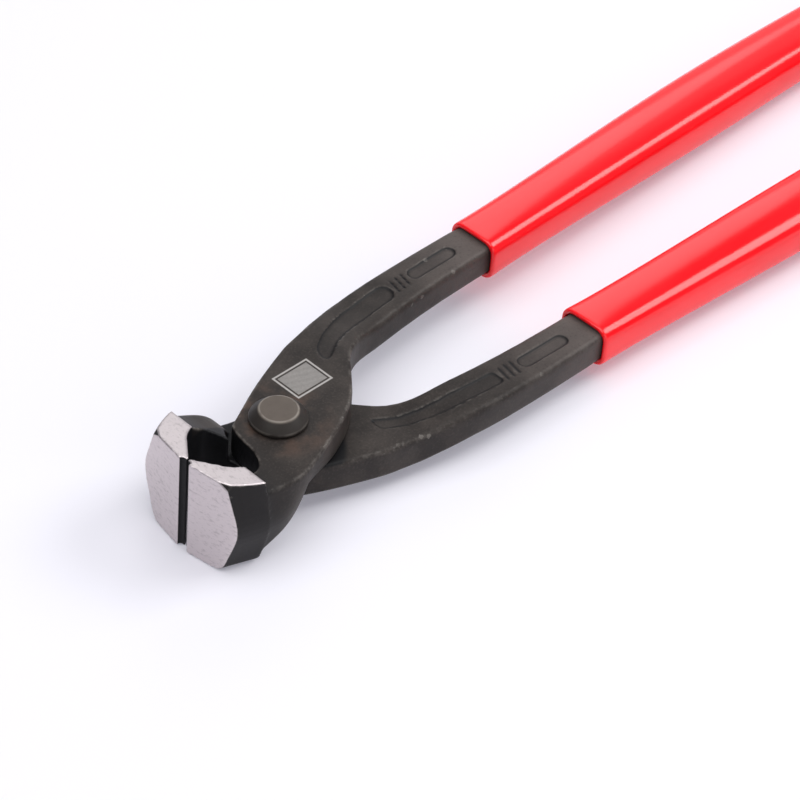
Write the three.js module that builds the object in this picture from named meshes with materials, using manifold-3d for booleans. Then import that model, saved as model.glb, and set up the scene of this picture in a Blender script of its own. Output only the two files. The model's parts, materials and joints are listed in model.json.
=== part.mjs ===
// Concreters nippers: two forged levers lapped on one rivet, with a dipped grip on each handle.
//
// Sizes are in millimetres. The tool is laid out about its pivot: +X runs to the jaws, Z is the pivot's axis,
// and Z = 0 is the plane where the two levers slide on each other. The upper lever's handle is on the -Y side
// and its jaw on the +Y side. The finished group is then set down so that the tool lies on Z = 0.
import * as THREE from 'three';
import { mergeVertices } from 'three/addons/utils/BufferGeometryUtils.js';
import Module from 'manifold-3d';

const wasm = await Module();
wasm.setup();

// Whole tool
const OVERALL_LENGTH = 280;
const JAW_REACH = 26.3; // pivot axis to the foremost line of the front faces
const BARE_LENGTH = 76; // pivot axis to the rim of the grips
const LAP_GAP = 0.3; // between the sliding faces of the levers
const EDGE_GAP = 0.3; // between the closed cutting edges
const SEAT_GAP = 0.3; // between a seated piece and its seat

// Lever forging
const BOSS_THICKNESS = 7.6;
const ARM_THICKNESS = 7.6;
const ARM_WIDTH = 10.4; // at the rim of the grip
const ARM_OFFSET = 17.1; // arm's middle from the tool's centre plane, at the rim of the grip
const ARM_RISE = 1.6; // arm's middle above or below the lap plane
const JOGGLE_START = -23; // where an arm leaves the level of its boss
const JOGGLE_END = -40; // where an arm has reached its own level
const BOSS_EDGE_RADIUS = 0.9;
const ARM_EDGE_RADIUS = 1.7;
const LAP_EDGE_RADIUS = 1.2;
const NECK_WAIST_RADIUS = 2.5;
const NECK_UNDERCUT = 1.8; // how far a lever's side draws in underneath, where the neck leaves the boss
const UNDERCUT_START_X = -8; // where that begins
const NECK_START_X = 4.6; // where the neck leaves the boss
const NECK_ROOT = 0.5; // how far the neck is sunk into the jaw block

// Jaws
const JAW_TOP = 12.1; // above the lap plane, at the front faces
const JAW_BOTTOM = 12.6; // below the lap plane
const JAW_LENGTH = 9.5; // foremost line of the front faces to the back of the tall jaw block
const JAW_WAIST_BACK = 16.4; // half width of the closed head at the back of the block
const JAW_WAIST_FRONT = 13.8; // half width of the closed head at the front faces
const JAW_SIDE_SLOPE = 0.26; // how fast the sides draw in below the waist
const JAW_CROWN_SLOPE = 0.21; // how fast the sides draw in above the waist
const JAW_CROWN_TAPER = 1.75; // how much more the top draws in at the front
const JAW_SOLE_RADIUS = 2.2;
const JAW_WAIST_RADIUS = 3.4;
const JAW_CROWN_RADIUS = 1.6;
const JAW_SOLE_TAPER = 0.9; // how much more the bottom draws in at the front
const FRONT_TILT = THREE.MathUtils.degToRad(9.5); // each front face leans back from the middle
const TOP_FALL = THREE.MathUtils.degToRad(10.5); // the ground top faces fall back from the front faces
const CORNER_FACET_START = 8.3; // centre plane to the unground corner between front and top
const CORNER_FACET_FORWARD = 1.4; // how much more that corner faces forward than out
const CORNER_FACET_UP = 1.35; // how much more it faces up than out
const EDGE_LAND_WIDTH = 1.35; // set-back strip beside each cutting edge
const EDGE_LAND_SETBACK = 1.0;
const CUTTING_EDGE_THICKNESS = 0.4;
const HOLLOW_WEDGE = THREE.MathUtils.degToRad(50.5); // half angle of the hollow behind the cutting edges
const HOLLOW_RADIUS = 8.2; // half width of the hollow
const HOLLOW_BACK = 4.4; // how far the hollow reaches behind its widest place
const BOSS_NOSE_RADIUS = 9.7; // rounded front corner of a boss, about the pivot
const NECK_CLEARANCE = 1.2; // between that corner and the other lever's neck

// Marks sunk into both faces of the arms: two panels with slanted bars between them
const PANEL_DEPTH = 0.5;
const FRONT_PANEL_START = -20.5;
const FRONT_PANEL_END = -49.5;
const FRONT_PANEL_WIDTH = 4.8; // on the boss side of a lever, with round ends
const FRONT_PANEL_WIDTH_LAP = 3.8; // on the lap side of a lever, with squarer ends
const LAP_PANEL_CORNER = 0.9;
const REAR_PANEL_START = -55.5;
const REAR_PANEL_END = -70;
const REAR_PANEL_WIDTH = 3.4;
const BAR_COUNT = 3;
const BAR_PITCH = 1.7;
const BAR_WIDTH = 0.75;
const BAR_LENGTH = 4.6;
const BAR_DEPTH = 0.35;
const BAR_SLANT = THREE.MathUtils.degToRad(12);

// Rivet
const RIVET_SHANK_RADIUS = 4.6;
const RIVET_CLEARANCE = 0.3;
const RIVET_HEAD_RADIUS = 6.25;
const RIVET_CROWN_RADIUS = 4.1;
const RIVET_HEAD_HEIGHT = 2.8;
const RIVET_HEAD_BAND = 0.7; // upright band below the cone
const RIVET_TAIL_RADIUS = 6.0;
const RIVET_TAIL_CROWN_RADIUS = 3.3;
const RIVET_TAIL_HEIGHT = 1.6;
const RIVET_TAIL_BAND = 0.5;

// Grips
const GRIP_WALL = 1.5; // at the rim
const GRIP_BELLY_X = -165;
const GRIP_BELLY_OFFSET = 21.5; // grip's middle from the tool's centre plane
const GRIP_BELLY_WIDTH = 16.5;
const GRIP_BELLY_THICKNESS = 13.4;
const GRIP_END_OFFSET = 22.5;
const GRIP_END_WIDTH = 14.6;
const GRIP_END_THICKNESS = 12.4;
const GRIP_RIM_RADIUS = 3.0; // corners of the section at the rim
const GRIP_BELLY_RADIUS = 5.6;
const GRIP_END_ROUND = 8; // length of the rounded closed end
const GRIP_TIP_FLAT = 2; // thickness left flat at the tip
const TANG_BELLY_WIDTH = 9.2;
const TANG_BELLY_THICKNESS = 7.2;
const TANG_END_COVER = 9; // solid plastic beyond the tang's end
const TANG_ROOT = 3; // how far the tang is sunk into the arm

// How finely curves are divided, and how far cutters reach past the work
const CORNER_STEPS = 4;
const TURN_STEPS = 48;
const FAR = 60;
const PANEL_CUT_HEIGHT = 3;

// Places that follow from the sizes above
const RIM_X = -BARE_LENGTH;
const GRIP_END_X = JAW_REACH - OVERALL_LENGTH;
const TANG_END_X = GRIP_END_X + TANG_END_COVER;
const JAW_BACK = JAW_REACH - JAW_LENGTH;
const NECK_END_X = JAW_BACK + NECK_ROOT;
const NECK_LENGTH = NECK_END_X - NECK_START_X;
const LAP = LAP_GAP / 2;
const CUTTING_EDGE_X = JAW_REACH - EDGE_LAND_SETBACK - CUTTING_EDGE_THICKNESS;
const HOLLOW_X = CUTTING_EDGE_X - HOLLOW_RADIUS / Math.sin(HOLLOW_WEDGE);

// Edges of the upper lever in plan, from the rim of the grip to the neck: [X, Y]
const OUTER_EDGE = [
  [RIM_X, -ARM_OFFSET - ARM_WIDTH / 2],
  [-58, -ARM_OFFSET - ARM_WIDTH / 2 + 0.1],
  [-42, -ARM_OFFSET - ARM_WIDTH / 2 + 0.7],
  [-30, -20.0],
  [-18, -16.5],
  [-4, -11.2],
  [8, -5.4],
  [NECK_END_X, -1.5],
];
const INNER_EDGE = [
  [RIM_X, -ARM_OFFSET + ARM_WIDTH / 2],
  [-58, -ARM_OFFSET + ARM_WIDTH / 2 + 0.6],
  [-42, -ARM_OFFSET + ARM_WIDTH / 2 + 2.0],
  [-32, -8.2],
  [-26, -5.0],
  [-21.5, -0.2],
  [-17, 4.5],
  [-11, 8.4],
  [4, 14.6],
  [11, JAW_WAIST_BACK - 0.1],
  [NECK_END_X, JAW_WAIST_BACK - 0.2],
];
// Underside of the neck, from the boss down to the bottom of the jaw: [X, Z]
const NECK_UNDERSIDE = [
  [NECK_START_X - 1, LAP],
  [NECK_START_X, LAP],
  [NECK_START_X + NECK_LENGTH * 0.07, -1.0],
  [NECK_START_X + NECK_LENGTH * 0.14, -2.6],
  [NECK_START_X + NECK_LENGTH * 0.24, -3.9],
  [NECK_START_X + NECK_LENGTH * 0.33, -4.7],
  [NECK_START_X + NECK_LENGTH * 0.46, -5.6],
  [NECK_START_X + NECK_LENGTH * 0.61, -6.6],
  [NECK_START_X + NECK_LENGTH * 0.79, -8.1],
  [NECK_END_X, -10.2],
];
const HANDLE_MIDDLE = [
  [GRIP_END_X, GRIP_END_OFFSET],
  [GRIP_BELLY_X, GRIP_BELLY_OFFSET],
  [RIM_X, ARM_OFFSET],
  [RIM_X / 2, ARM_OFFSET - 0.6],
];

// Value of a smooth curve through points [x, y] at one x; it runs level past its ends.
function curveAt(points, x) {
  const sorted = [...points].sort((a, b) => a[0] - b[0]);
  const last = sorted.length - 1;
  if (x <= sorted[0][0]) return sorted[0][1];
  if (x >= sorted[last][0]) return sorted[last][1];
  const i = sorted.findIndex((point) => point[0] > x) - 1;
  const slope = (k) => {
    const before = sorted[Math.max(k - 1, 0)];
    const after = sorted[Math.min(k + 1, last)];
    return (after[1] - before[1]) / (after[0] - before[0]);
  };
  const [x0, y0] = sorted[i];
  const [x1, y1] = sorted[i + 1];
  const span = x1 - x0;
  const t = (x - x0) / span;
  const rise = y1 - y0 - slope(i) * span;
  const bend = slope(i + 1) * span - (y1 - y0);
  return y0 + slope(i) * span * t + rise * t * t + (bend - rise) * t * t * (t - 1);
}

function evenly(from, to, count) {
  return Array.from({ length: count + 1 }, (_, i) => from + ((to - from) * i) / count);
}

// Ring of section points [y, z] with each corner rounded by its own radius, limited by its sides.
function roundedRing(corners, radii) {
  const ring = [];
  corners.forEach((corner, i) => {
    const here = new THREE.Vector2(...corner);
    const before = new THREE.Vector2(...corners.at(i - 1));
    const after = new THREE.Vector2(...corners[(i + 1) % corners.length]);
    const limit = 0.49 * Math.min(here.distanceTo(before), here.distanceTo(after));
    const radius = Math.min(radii[i], limit);
    const start = before.sub(here).setLength(radius).add(here);
    const end = after.sub(here).setLength(radius).add(here);
    const bend = new THREE.QuadraticBezierCurve(start, here, end);
    ring.push(...bend.getPoints(CORNER_STEPS).map((point) => [point.x, point.y]));
  });
  return ring;
}

function boxRing(yLow, yHigh, zLow, zHigh, radius) {
  const corners = [[yLow, zLow], [yHigh, zLow], [yHigh, zHigh], [yLow, zHigh]];
  return roundedRing(corners, [radius, radius, radius, radius]);
}

// Closed body through rings [{ x, ring }], in order of rising x.
function loft(stations) {
  const size = stations[0].ring.length;
  const position = stations.flatMap(({ x, ring }) => ring.flatMap(([y, z]) => [x, y, z]));
  const index = [];
  for (let s = 0; s < stations.length - 1; s += 1) {
    for (let i = 0; i < size; i += 1) {
      const a = s * size + i;
      const b = s * size + ((i + 1) % size);
      index.push(a, b, b + size, a, b + size, a + size);
    }
  }
  const lastRing = (stations.length - 1) * size;
  for (let i = 1; i < size - 1; i += 1) {
    index.push(0, i + 1, i);
    index.push(lastRing, lastRing + i, lastRing + i + 1);
  }
  const geometry = new THREE.BufferGeometry();
  geometry.setAttribute('position', new THREE.Float32BufferAttribute(position, 3));
  geometry.setIndex(index);
  return geometry;
}

function mirrored(geometry) {
  const copy = geometry.clone().scale(1, -1, 1);
  copy.setIndex([...copy.index.array].reverse());
  return copy;
}

function solid(geometry) {
  const bare = geometry.clone();
  bare.deleteAttribute('normal');
  bare.deleteAttribute('uv');
  const merged = mergeVertices(bare, 1e-4);
  const vertProperties = new Float32Array(merged.attributes.position.array);
  const triVerts = new Uint32Array(merged.index.array);
  return new wasm.Manifold(new wasm.Mesh({ numProp: 3, vertProperties, triVerts }));
}

function geometryOf(body) {
  const mesh = body.getMesh();
  const geometry = new THREE.BufferGeometry();
  geometry.setAttribute('position', new THREE.BufferAttribute(mesh.vertProperties, 3));
  geometry.setIndex(new THREE.BufferAttribute(mesh.triVerts, 1));
  geometry.computeVertexNormals();
  return geometry;
}

// Upright cylinder between two levels.
function post(radius, zLow, zHigh) {
  const geometry = new THREE.CylinderGeometry(radius, radius, zHigh - zLow, TURN_STEPS);
  return geometry.rotateX(Math.PI / 2).translate(0, 0, (zLow + zHigh) / 2);
}

// Upright prism of a plan shape between two levels.
function prism(shape, zLow, zHigh) {
  const settings = { depth: zHigh - zLow, bevelEnabled: false, curveSegments: TURN_STEPS };
  return new THREE.ExtrudeGeometry(shape, settings).translate(0, 0, zLow);
}

// Share of the joggle reached at x: 0 on the boss, 1 on the arm.
function joggle(x) {
  return THREE.MathUtils.smoothstep(-x, -JOGGLE_START, -JOGGLE_END);
}

// Share of the way from the rim of the grip to its belly.
function towardBelly(x) {
  return THREE.MathUtils.smoothstep(-x, -RIM_X, -GRIP_BELLY_X);
}

function handleLift(x) {
  return ARM_RISE * (1 - towardBelly(x));
}

function leverTop(x) {
  const armTop = handleLift(x) + ARM_THICKNESS / 2;
  return THREE.MathUtils.lerp(BOSS_THICKNESS, armTop, joggle(x));
}

function leverBottom(x) {
  const armBottom = handleLift(x) - ARM_THICKNESS / 2;
  const bottom = THREE.MathUtils.lerp(LAP, armBottom, joggle(x));
  return x > NECK_UNDERSIDE[0][0] ? curveAt(NECK_UNDERSIDE, x) : bottom;
}

// Section of the tang inside the grip, grown all round by a margin.
function tangRing(x, margin) {
  const share = towardBelly(x);
  const width = THREE.MathUtils.lerp(ARM_WIDTH, TANG_BELLY_WIDTH, share) + 2 * margin;
  const thickness = THREE.MathUtils.lerp(ARM_THICKNESS, TANG_BELLY_THICKNESS, share) + 2 * margin;
  const middle = -curveAt(HANDLE_MIDDLE, x);
  const lift = handleLift(x);
  const radius = ARM_EDGE_RADIUS + margin;
  const [yLow, yHigh] = [middle - width / 2, middle + width / 2];
  return boxRing(yLow, yHigh, lift - thickness / 2, lift + thickness / 2, radius);
}

// Section of the bare lever. Toward the jaw its inner side draws in above and below a waist, as the jaw does.
function leverRing(x) {
  const share = joggle(x);
  const lowRadius = THREE.MathUtils.lerp(LAP_EDGE_RADIUS, ARM_EDGE_RADIUS, share);
  const highRadius = THREE.MathUtils.lerp(BOSS_EDGE_RADIUS, ARM_EDGE_RADIUS, share);
  const neckShare = THREE.MathUtils.smoothstep(x, NECK_START_X, JAW_BACK);
  const undercut = NECK_UNDERCUT * THREE.MathUtils.smoothstep(x, UNDERCUT_START_X, NECK_START_X) * (1 - neckShare);
  const [yLow, yHigh] = [curveAt(OUTER_EDGE, x), curveAt(INNER_EDGE, x)];
  const [zLow, zHigh] = [leverBottom(x), leverTop(x)];
  const waist = THREE.MathUtils.lerp((zLow + zHigh) / 2, 0, neckShare);
  const draw = JAW_SIDE_SLOPE * neckShare;
  const crownDraw = JAW_CROWN_SLOPE * neckShare;
  const corners = [
    [yLow, zLow],
    [yHigh - draw * (waist - zLow) - undercut, zLow],
    [yHigh, waist],
    [yHigh - crownDraw * (zHigh - waist), zHigh],
    [yLow, zHigh],
  ];
  return roundedRing(corners, [lowRadius, lowRadius, NECK_WAIST_RADIUS, highRadius, highRadius]);
}

// Arm, boss and neck of the upper lever in one forging.
function leverBody() {
  const arm = evenly(RIM_X, JOGGLE_END, 5);
  const bend = evenly(JOGGLE_END, JOGGLE_START, 10).slice(1);
  const boss = evenly(JOGGLE_START, NECK_START_X, 12).slice(1);
  const neck = evenly(NECK_START_X, NECK_END_X, 12).slice(1);
  return loft([...arm, ...bend, ...boss, ...neck].map((x) => ({ x, ring: leverRing(x) })));
}

// Bare end of the upper lever inside its grip, sunk a little into the arm.
function tang() {
  const places = [...evenly(TANG_END_X, RIM_X, 8), RIM_X + TANG_ROOT];
  return loft(places.map((x) => ({ x, ring: tangRing(x, 0) })));
}

function jawRing(x) {
  const share = (x - JAW_BACK) / (JAW_REACH - JAW_BACK);
  const waist = THREE.MathUtils.lerp(JAW_WAIST_BACK, JAW_WAIST_FRONT, share);
  const crown = waist - JAW_CROWN_SLOPE * JAW_TOP - JAW_CROWN_TAPER * share ** 2;
  const sole = waist - JAW_SIDE_SLOPE * JAW_BOTTOM - JAW_SOLE_TAPER * share;
  const inside = EDGE_GAP / 2;
  const corners = [
    [inside, -JAW_BOTTOM],
    [sole, -JAW_BOTTOM],
    [waist, 0],
    [crown, JAW_TOP],
    [inside, JAW_TOP],
  ];
  return roundedRing(corners, [0, JAW_SOLE_RADIUS, JAW_WAIST_RADIUS, JAW_CROWN_RADIUS, 0]);
}

// Block that takes away everything in front of a front face.
function frontCut() {
  const block = new THREE.BoxGeometry(FAR, FAR * 2, FAR * 2).translate(FAR / 2, 0, 0);
  return block.rotateZ(FRONT_TILT).translate(JAW_REACH, EDGE_LAND_WIDTH, 0);
}

// Block that takes away everything above a ground top face.
function topCut() {
  const block = new THREE.BoxGeometry(FAR * 2, FAR * 2, FAR).translate(0, 0, FAR / 2);
  return block.rotateY(-TOP_FALL).translate(JAW_REACH, 0, JAW_TOP);
}

// Strip beside the cutting edge, set back behind the front face.
function landCut() {
  const block = new THREE.BoxGeometry(FAR, EDGE_LAND_WIDTH * 2, FAR * 2);
  return block.translate(JAW_REACH - EDGE_LAND_SETBACK + FAR / 2, 0, 0);
}

// Block that takes away the outer corner between a front face and its top face.
function cornerCut() {
  const facing = new THREE.Vector3(CORNER_FACET_FORWARD, 1, CORNER_FACET_UP).normalize();
  const turn = new THREE.Quaternion().setFromUnitVectors(new THREE.Vector3(0, 0, 1), facing);
  const block = new THREE.BoxGeometry(FAR, FAR, FAR).translate(0, 0, FAR / 2).applyQuaternion(turn);
  const startX = JAW_REACH - Math.tan(FRONT_TILT) * (CORNER_FACET_START - EDGE_LAND_WIDTH);
  const startZ = JAW_TOP - Math.tan(TOP_FALL) * (JAW_REACH - startX);
  return block.translate(startX, CORNER_FACET_START, startZ);
}

// Jaw block of the upper lever, ground at the front and on top.
function jaw() {
  const stations = evenly(JAW_BACK, JAW_REACH + 1, 6).map((x) => ({ x, ring: jawRing(x) }));
  const cuts = [frontCut(), topCut(), cornerCut(), landCut()];
  return geometryOf(cuts.reduce((block, cut) => block.subtract(solid(cut)), solid(loft(stations))));
}

// Space between the closed jaws: flat-backed behind, round at the sides, a wedge to the cutting edges in front.
function hollow() {
  const turn = Math.PI / 2 - HOLLOW_WEDGE;
  const shape = new THREE.Shape();
  shape.moveTo(CUTTING_EDGE_X, 0);
  shape.lineTo(HOLLOW_X + HOLLOW_RADIUS * Math.cos(turn), HOLLOW_RADIUS * Math.sin(turn));
  shape.absarc(HOLLOW_X, 0, HOLLOW_RADIUS, turn, Math.PI / 2);
  shape.absellipse(HOLLOW_X, 0, HOLLOW_BACK, HOLLOW_RADIUS, Math.PI / 2, 1.5 * Math.PI);
  shape.absarc(HOLLOW_X, 0, HOLLOW_RADIUS, 1.5 * Math.PI, 2 * Math.PI - turn);
  return prism(shape, -FAR, FAR);
}

// Space outside the rounded front corner of the upper lever's boss.
function noseCut() {
  const shape = new THREE.Shape();
  shape.absarc(0, 0, BOSS_NOSE_RADIUS, 0, -Math.PI / 3, true);
  shape.lineTo(FAR / 2, -FAR);
  shape.lineTo(FAR / 2, 0);
  return prism(shape, -FAR, FAR);
}

// Sunk panel on the upper lever's boss side or lap side, following that face along the joggle.
function panelCut(onBossSide, start, end, width, corner) {
  const middle = (x) => (curveAt(OUTER_EDGE, x) + curveAt(INNER_EDGE, x)) / 2;
  const halfWidth = (x) => {
    const short = corner - Math.min(start - x, x - end, corner);
    return width / 2 - corner + Math.sqrt(Math.max(corner ** 2 - short ** 2, 1e-3));
  };
  const steps = evenly(0, Math.PI / 2, CORNER_STEPS).map((angle) => corner * (1 - Math.cos(angle)));
  const endPlaces = steps.map((step) => end + step);
  const between = evenly(end + corner, start - corner, 6).slice(1, -1);
  const startPlaces = steps.map((step) => start - step).reverse();
  return loft([...endPlaces, ...between, ...startPlaces].map((x) => {
    const floor = onBossSide ? leverTop(x) - PANEL_DEPTH : leverBottom(x) + PANEL_DEPTH - PANEL_CUT_HEIGHT;
    const [yLow, yHigh] = [middle(x) - halfWidth(x), middle(x) + halfWidth(x)];
    return { x, ring: boxRing(yLow, yHigh, floor, floor + PANEL_CUT_HEIGHT, 0) };
  }));
}

// Slanted bars sunk between the two panels of one side.
function barCuts(onBossSide) {
  const middleX = (FRONT_PANEL_END + REAR_PANEL_START) / 2;
  const middleY = (curveAt(OUTER_EDGE, middleX) + curveAt(INNER_EDGE, middleX)) / 2;
  const face = onBossSide ? leverTop(middleX) : leverBottom(middleX);
  return Array.from({ length: BAR_COUNT }, (_, i) => {
    const along = (i - (BAR_COUNT - 1) / 2) * BAR_PITCH;
    const bar = new THREE.BoxGeometry(BAR_WIDTH, BAR_LENGTH, 2 * BAR_DEPTH);
    return bar.rotateZ(onBossSide ? -BAR_SLANT : BAR_SLANT).translate(middleX + along, middleY, face);
  });
}

function markCuts(onBossSide) {
  const frontWidth = onBossSide ? FRONT_PANEL_WIDTH : FRONT_PANEL_WIDTH_LAP;
  const frontCorner = onBossSide ? FRONT_PANEL_WIDTH / 2 : LAP_PANEL_CORNER;
  return [
    panelCut(onBossSide, FRONT_PANEL_START, FRONT_PANEL_END, frontWidth, frontCorner),
    panelCut(onBossSide, REAR_PANEL_START, REAR_PANEL_END, REAR_PANEL_WIDTH, REAR_PANEL_WIDTH / 2),
    ...barCuts(onBossSide),
  ];
}

// One lever. The lower one is the same forging turned over about X, with the jaw on the other side.
function lever(isUpper) {
  const turned = (geometry) => (isUpper ? geometry : geometry.rotateX(Math.PI));
  const jawSide = isUpper ? jaw() : mirrored(jaw());
  const cuts = [
    turned(post(BOSS_NOSE_RADIUS + NECK_CLEARANCE, -FAR, LAP)),
    turned(noseCut()),
    hollow(),
    post(RIVET_SHANK_RADIUS + RIVET_CLEARANCE, -FAR, FAR),
    ...markCuts(true).map(turned),
    ...markCuts(false).map(turned),
  ];
  const forging = solid(turned(leverBody())).add(solid(turned(tang()))).add(solid(jawSide));
  return geometryOf(cuts.reduce((body, cut) => body.subtract(solid(cut)), forging));
}

// Pivot turned about its own axis, conical head above and peened tail below.
function rivet() {
  const top = BOSS_THICKNESS + SEAT_GAP;
  const profile = [
    [0, -top - RIVET_TAIL_HEIGHT],
    [RIVET_TAIL_CROWN_RADIUS, -top - RIVET_TAIL_HEIGHT],
    [RIVET_TAIL_RADIUS, -top - RIVET_TAIL_BAND],
    [RIVET_TAIL_RADIUS, -top],
    [RIVET_SHANK_RADIUS, -top],
    [RIVET_SHANK_RADIUS, top],
    [RIVET_HEAD_RADIUS, top],
    [RIVET_HEAD_RADIUS, top + RIVET_HEAD_BAND],
    [RIVET_CROWN_RADIUS, top + RIVET_HEAD_HEIGHT],
    [0, top + RIVET_HEAD_HEIGHT],
  ].map(([radius, z]) => new THREE.Vector2(radius, z));
  return geometryOf(solid(new THREE.LatheGeometry(profile, TURN_STEPS).rotateX(Math.PI / 2)));
}

// Section of the grip's outside at x; inset shrinks it for the rounded end.
function gripRing(x, inset) {
  const past = x < GRIP_BELLY_X;
  const share = past ? THREE.MathUtils.smoothstep(-x, -GRIP_BELLY_X, -GRIP_END_X) : towardBelly(x);
  const rim = [ARM_WIDTH + 2 * GRIP_WALL, ARM_THICKNESS + 2 * GRIP_WALL, GRIP_RIM_RADIUS];
  const belly = [GRIP_BELLY_WIDTH, GRIP_BELLY_THICKNESS, GRIP_BELLY_RADIUS];
  const end = [GRIP_END_WIDTH, GRIP_END_THICKNESS, GRIP_BELLY_RADIUS];
  const [from, to] = past ? [belly, end] : [rim, belly];
  const [width, thickness, radius] = from.map((size, i) => THREE.MathUtils.lerp(size, to[i], share));
  const middle = -curveAt(HANDLE_MIDDLE, x);
  const lift = handleLift(x);
  const [halfWidth, halfHeight] = [width / 2 - inset, thickness / 2 - inset];
  const [yLow, yHigh] = [middle - halfWidth, middle + halfWidth];
  return boxRing(yLow, yHigh, lift - halfHeight, lift + halfHeight, radius);
}

// Dipped sleeve on the upper lever's handle, open at the rim and rounded shut at its end.
function grip(isUpper) {
  const roundAngles = evenly(0, Math.PI / 2, 5).slice(1);
  const maxInset = (GRIP_END_THICKNESS - GRIP_TIP_FLAT) / 2;
  const roundEnd = roundAngles.map((angle) => {
    const x = GRIP_END_X + GRIP_END_ROUND * (1 - Math.sin(angle));
    return { x, ring: gripRing(x, maxInset * (1 - Math.cos(angle))) };
  }).reverse();
  const straight = evenly(GRIP_END_X + GRIP_END_ROUND, RIM_X, 18).map((x) => ({ x, ring: gripRing(x, 0) }));
  const bore = evenly(TANG_END_X - SEAT_GAP, RIM_X, 8).map((x) => ({ x, ring: tangRing(x, SEAT_GAP) }));
  bore.push({ x: RIM_X + 1, ring: tangRing(RIM_X, SEAT_GAP) });
  const sleeve = solid(loft([...roundEnd, ...straight])).subtract(solid(loft(bore)));
  const geometry = geometryOf(sleeve);
  return isUpper ? geometry : geometry.rotateX(Math.PI);
}

function piece(name, geometry, color, roughness, metalness) {
  const mesh = new THREE.Mesh(geometry, new THREE.MeshStandardMaterial({ color, roughness, metalness }));
  mesh.name = name;
  return mesh;
}

const nippers = new THREE.Group();
nippers.add(
  piece('upper_lever', lever(true), 0x4b4642, 0.55, 0.6),
  piece('lower_lever', lever(false), 0x4b4642, 0.55, 0.6),
  piece('pivot_rivet', rivet(), 0x55504a, 0.5, 0.6),
  piece('upper_grip', grip(true), 0xe8202a, 0.25, 0),
  piece('lower_grip', grip(false), 0xe8202a, 0.25, 0),
);
nippers.position.set(OVERALL_LENGTH / 2 - JAW_REACH, 0, JAW_BOTTOM);

export default nippers;
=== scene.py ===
"""Concreters nippers: forged levers, turned rivet and dipped grips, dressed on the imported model."""
import json
import logging
import math
from dataclasses import dataclass
from enum import Enum
from typing import Any, Dict, List, NamedTuple, Sequence, Tuple, Union

import bmesh
import bpy
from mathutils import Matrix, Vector


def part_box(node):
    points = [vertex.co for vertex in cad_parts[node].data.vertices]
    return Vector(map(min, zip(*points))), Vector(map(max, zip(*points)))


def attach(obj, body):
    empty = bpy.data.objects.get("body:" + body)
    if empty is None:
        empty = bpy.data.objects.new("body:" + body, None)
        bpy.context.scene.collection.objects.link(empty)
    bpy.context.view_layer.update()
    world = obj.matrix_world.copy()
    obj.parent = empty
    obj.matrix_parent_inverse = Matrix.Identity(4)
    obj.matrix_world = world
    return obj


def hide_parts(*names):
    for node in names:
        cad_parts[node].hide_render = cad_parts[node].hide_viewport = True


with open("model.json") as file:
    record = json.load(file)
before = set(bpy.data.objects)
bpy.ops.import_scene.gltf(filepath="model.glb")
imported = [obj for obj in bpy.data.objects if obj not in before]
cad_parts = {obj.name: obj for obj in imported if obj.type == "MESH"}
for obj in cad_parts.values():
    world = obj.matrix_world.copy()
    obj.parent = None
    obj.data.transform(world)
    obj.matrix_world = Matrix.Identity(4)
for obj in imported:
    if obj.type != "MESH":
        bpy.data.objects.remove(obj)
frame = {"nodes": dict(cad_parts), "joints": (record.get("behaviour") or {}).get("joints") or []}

LOG = logging.getLogger("nippers")
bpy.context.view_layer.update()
PIVOT = Vector(frame["joints"][0]["pos_m"])
MM = 0.001
TINY = 1e-9
SUNK = "sunk"

Span = Tuple[float, float]
Triple = Tuple[float, float, float]
Colour = Tuple[float, float, float]
Feed = Union["Wire", float, Sequence[float]]


class Side(Enum):
    """One of the two levers, valued by the side of Y that its jaw closes from."""

    UPPER = 1
    LOWER = -1

    @property
    def body(self) -> str:
        """Name of the CAD body that this lever belongs to."""
        return self.name.lower()

    @property
    def lever_node(self) -> str:
        """Name of this lever's CAD node."""
        return f"{self.body}_lever"

    @property
    def grip_node(self) -> str:
        """Name of the CAD node of this lever's grip."""
        return f"{self.body}_grip"


# Shader expressions


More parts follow.
